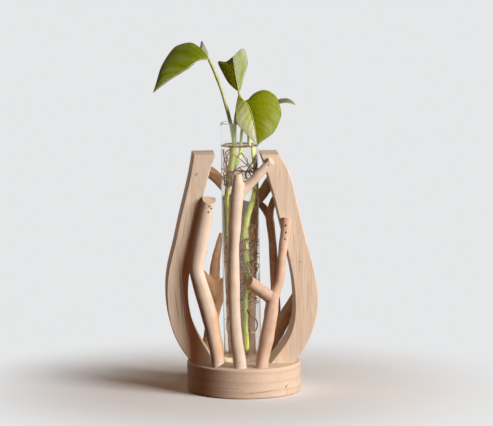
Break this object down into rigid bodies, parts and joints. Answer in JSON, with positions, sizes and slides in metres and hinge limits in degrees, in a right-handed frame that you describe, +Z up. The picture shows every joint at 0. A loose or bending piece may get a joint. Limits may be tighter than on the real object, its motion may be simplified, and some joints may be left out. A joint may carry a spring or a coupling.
{
  "type": "propagation vase",
  "caption": "Round wooden base with two curved slats and forked twigs around a lift-out glass test tube, which holds a rooted cutting with heart-shaped leaves.",
  "frame": {"origin": "centre of the base disc's underside", "axes": "+Z up; +X to the right along the plane of the two slats; -Y is the front, where the pale twigs stand"},
  "size_m": [0.1324, 0.092, 0.2817],
  "materials": {
    "base_wood": "sanded hardwood, waxed",
    "slat_wood": "sawn and sanded hardwood, waxed",
    "front_twig_wood": "peeled and sanded branch",
    "back_twig_wood": "peeled and sanded branch",
    "screw_steel": "zinc plated",
    "brad_steel": "bright steel, darkened by age",
    "tube_glass": "clear, fire polished rim",
    "stalk": "living stem, soft sheen",
    "leaf": "living leaf, waxy",
    "root": "wet roots"
  },
  "bodies": {
    "stand": {"base_disc": "base_wood", "left_slat": "slat_wood", "right_slat": "slat_wood", "front_left_twig": "front_twig_wood", "front_centre_twig": "front_twig_wood", "front_right_twig": "front_twig_wood", "back_right_twig": "back_twig_wood", "back_centre_twig": "back_twig_wood", "back_left_twig": "back_twig_wood", "slat_screws": "screw_steel", "foot_brads": "brad_steel", "slat_brads": "brad_steel"},
    "tube": {"glass_tube": "tube_glass"},
    "cutting": {"left_stem": "stalk", "long_stem": "stalk", "left_leaf_stalk": "stalk", "folded_leaf_stalk": "stalk", "small_leaf_stalk": "stalk", "front_leaf_stalk": "stalk", "left_leaf": "leaf", "folded_leaf": "leaf", "front_leaf": "leaf", "small_leaf": "leaf", "upper_roots": "root", "lower_roots": "root"}
  },
  "joints": [
    {"name": "tube_lift", "type": "slide", "parent": "stand", "child": "tube", "axis": [-0.0159, 0, 0.9999], "range_m": [0, 0.2]},
    {"name": "cutting_lift", "type": "slide", "parent": "tube", "child": "cutting", "axis": [-0.0159, 0, 0.9999], "range_m": [0, 0.19]}
  ]
}
